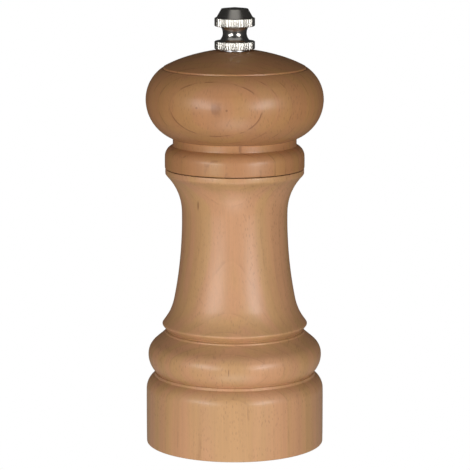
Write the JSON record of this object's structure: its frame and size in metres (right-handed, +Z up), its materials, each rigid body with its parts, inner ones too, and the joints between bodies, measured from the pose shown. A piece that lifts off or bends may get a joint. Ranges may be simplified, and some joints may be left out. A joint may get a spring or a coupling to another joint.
{
  "type": "pepper mill",
  "caption": "Turned wooden pepper mill with a domed turning head, a knurled adjusting nut and a spring-loaded steel grinding cone and ring.",
  "frame": {"origin": "middle of the foot's underside, on the surface that the mill stands on", "axes": "+Z up along the spindle; the side towards -Y is the front; the bridge lies along X"},
  "size_m": [0.06, 0.06, 0.1479],
  "materials": {
    "beech": "satin clear lacquer over turned beech",
    "beech_head": "satin clear lacquer over turned beech",
    "nickel": "bright nickel plate, knurled and turned",
    "zinc_steel": "pressed steel, zinc plated",
    "screw_steel": "zinc plated screws",
    "spindle_steel": "drawn bright steel bar",
    "burr_steel": "hardened, machined, lightly oiled",
    "spring_steel": "drawn spring wire",
    "nylon": "moulded natural nylon"
  },
  "bodies": {
    "barrel": {"barrel": "beech", "bridge": "zinc_steel", "bridge_screws": "screw_steel", "grinding_ring": "burr_steel", "retaining_ring": "zinc_steel", "ring_screws": "screw_steel"},
    "drive": {"spindle_bush": "nylon", "upper_spring_washer": "zinc_steel"},
    "grinder": {"spindle": "spindle_steel", "grinding_cone": "burr_steel", "cone_washer": "zinc_steel", "circlip": "spring_steel", "lower_spring_washer": "zinc_steel", "spring": "spring_steel"},
    "head": {"head": "beech_head", "head_bush": "nylon", "drive_plate": "zinc_steel", "drive_plate_screws": "screw_steel"},
    "nut_seat": {"nut_washer": "zinc_steel"},
    "nut": {"adjusting_nut": "nickel"}
  },
  "joints": [
    {"name": "head_turn", "type": "hinge", "parent": "barrel", "child": "drive", "pos_m": [0, 0, 0.0248], "axis": [0, 0, 1], "continuous": true},
    {"name": "spindle_rise", "type": "slide", "parent": "drive", "child": "grinder", "axis": [0, 0, 1], "range_m": [0, 0.0016], "deforming": ["spring"]},
    {"name": "head_lift", "type": "slide", "parent": "drive", "child": "head", "axis": [0, 0, 1], "range_m": [0, 0.07]},
    {"name": "nut_lift", "type": "slide", "parent": "head", "child": "nut_seat", "axis": [0, 0, 1], "range_m": [0, 0.025]},
    {"name": "nut_turn", "type": "hinge", "parent": "nut_seat", "child": "nut", "pos_m": [0, 0, 0.1404], "axis": [0, 0, 1], "range_deg": [-720, 0]}
  ],
  "couplings": [
    {"joint": "nut_turn", "follows": "spindle_rise", "rad_per_m": -7853.9}
  ]
}
